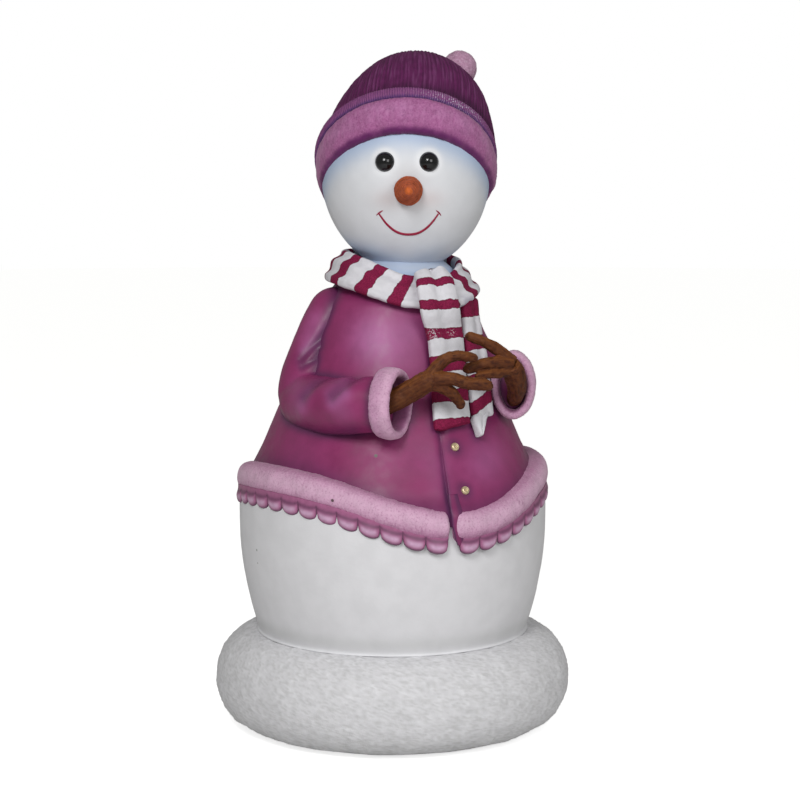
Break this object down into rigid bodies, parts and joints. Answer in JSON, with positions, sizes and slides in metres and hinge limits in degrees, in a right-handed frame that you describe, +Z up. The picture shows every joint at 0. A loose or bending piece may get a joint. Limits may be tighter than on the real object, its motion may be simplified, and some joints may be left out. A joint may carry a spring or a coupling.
{
  "type": "snowman figure",
  "caption": "Standing snow lady display figure: fat snow base and ball, buttoned coat with scalloped hem, striped scarf, knitted hat, carrot nose and twig hands.",
  "frame": {"origin": "centre of the flat underside of the snow base", "axes": "+Z up; the front opening of the coat faces -Y and the figure's own right hand is towards -X; the head is turned 30 degrees towards its own right"},
  "size_m": [0.962, 0.962, 1.811],
  "materials": {
    "snow_plaster": "off-white paint over a stippled snow texture, smoother on the snowball",
    "coat_plum": "satin plum paint with lighter airbrushed chest and darker creases",
    "fleece_pink": "matt pink paint over a moulded fleece texture",
    "scallop_pink": "satin deep pink paint with darker edges",
    "twig_brown": "matt bark-brown paint over moulded bark grooves",
    "button_brass": "gold-coloured paint",
    "scarf_knit": "matt white paint with maroon cross stripes over a knitted texture",
    "face_white": "satin cool-white paint with faint blue shading and a painted crimson smile",
    "eye_black": "high-gloss black",
    "carrot_orange": "matt brown-orange paint with a brighter tip",
    "hat_plum": "matt dark plum paint over knitted ribs",
    "hat_mauve": "matt mauve paint over fine knitted ribs"
  },
  "bodies": {
    "root": {"snow_base": "snow_plaster", "snow_body": "snow_plaster", "coat_body": "coat_plum", "hem_roll": "fleece_pink", "scallop_edging": "scallop_pink", "sleeve_right": "coat_plum", "sleeve_left": "coat_plum", "cuff_right": "fleece_pink", "cuff_left": "fleece_pink", "arm_stick_right": "twig_brown", "arm_stick_left": "twig_brown", "finger_right_1": "twig_brown", "finger_right_2": "twig_brown", "finger_right_3": "twig_brown", "finger_left_1": "twig_brown", "finger_left_2": "twig_brown", "finger_left_3": "twig_brown", "button_upper": "button_brass", "button_lower": "button_brass", "neck": "face_white", "scarf_wrap": "scarf_knit", "scarf_tail_front": "scarf_knit", "scarf_tail_rear": "scarf_knit", "head": "face_white", "hat_crown": "hat_plum", "hat_rib_band": "hat_mauve", "hat_brim_roll": "fleece_pink", "pompom": "fleece_pink", "eye_right": "eye_black", "eye_left": "eye_black", "carrot_nose": "carrot_orange"}
  },
  "joints": []
}
